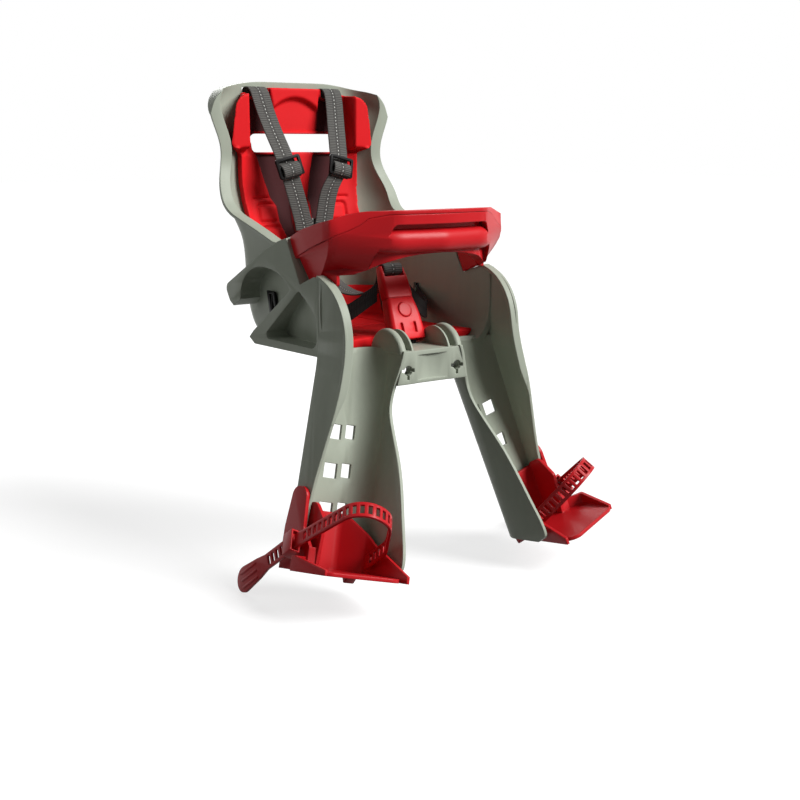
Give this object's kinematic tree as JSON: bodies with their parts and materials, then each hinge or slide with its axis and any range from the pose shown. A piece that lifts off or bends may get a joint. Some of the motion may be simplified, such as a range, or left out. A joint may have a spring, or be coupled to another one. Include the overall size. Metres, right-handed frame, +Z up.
{
  "type": "child bike seat",
  "caption": "Front-mounted child bike seat: moulded bucket with splayed leg channels, foam pads, lift-off front bar, strap harness with push-button buckle and sliding footrests",
  "frame": {"origin": "midway between the two keyed sockets, on the front panel's front face", "axes": "X across the seat, the child faces -Y, Z up"},
  "size_m": [0.4214, 0.4105, 0.5499],
  "materials": {
    "shell": "fine satin grain",
    "pad": "closed-cell foam skin",
    "red_plastic": "semi-gloss",
    "foot_plastic": "semi-gloss",
    "webbing": "ribbed weave",
    "black_plastic": "satin",
    "steel": "zinc plated"
  },
  "bodies": {
    "seat": {"seat_shell": "shell", "back_pad": "pad", "seat_pad": "pad", "shoulder_strap_left": "webbing", "shoulder_strap_right": "webbing", "strap_slider_left": "black_plastic", "strap_slider_right": "black_plastic", "strap_anchors": "black_plastic", "yoke_strap": "webbing", "lap_strap_left": "webbing", "lap_strap_right": "webbing", "lap_anchors": "black_plastic", "buckle_body": "red_plastic", "buckle_spring": "steel", "crotch_strap": "webbing", "crotch_anchor": "black_plastic"},
    "bar": {"bar_housing": "red_plastic", "bar_cover": "red_plastic", "bar_screws": "steel"},
    "tongue": {"buckle_tongue": "red_plastic"},
    "button": {"buckle_button": "red_plastic"},
    "foot_left": {"footrest_left": "foot_plastic", "foot_strap_left": "foot_plastic", "foot_strap_clip_left": "foot_plastic", "foot_strap_pin_left": "steel", "footrest_latch_left": "foot_plastic"},
    "foot_right": {"footrest_right": "foot_plastic", "foot_strap_right": "foot_plastic", "foot_strap_clip_right": "foot_plastic", "foot_strap_pin_right": "steel", "footrest_latch_right": "foot_plastic"}
  },
  "joints": [
    {"name": "bar_lift", "type": "slide", "parent": "seat", "child": "bar", "axis": [0, 0, 1], "range_m": [0, 0.06]},
    {"name": "tongue_release", "type": "slide", "parent": "seat", "child": "tongue", "axis": [0, 0.3998, 0.9166], "range_m": [0, 0.03], "deforming": ["yoke_strap", "lap_strap_left", "lap_strap_right"]},
    {"name": "button_press", "type": "slide", "parent": "seat", "child": "button", "axis": [0, 0.9166, -0.3998], "range_m": [0, 0.002], "stiffness_N_per_m": 500, "springref_m": -0.001, "deforming": ["buckle_spring"]},
    {"name": "foot_left_height", "type": "slide", "parent": "seat", "child": "foot_left", "axis": [0.274, 0.1795, 0.9448], "range_m": [0, 0.085]},
    {"name": "foot_right_height", "type": "slide", "parent": "seat", "child": "foot_right", "axis": [-0.274, 0.1795, 0.9448], "range_m": [0, 0.085]}
  ]
}
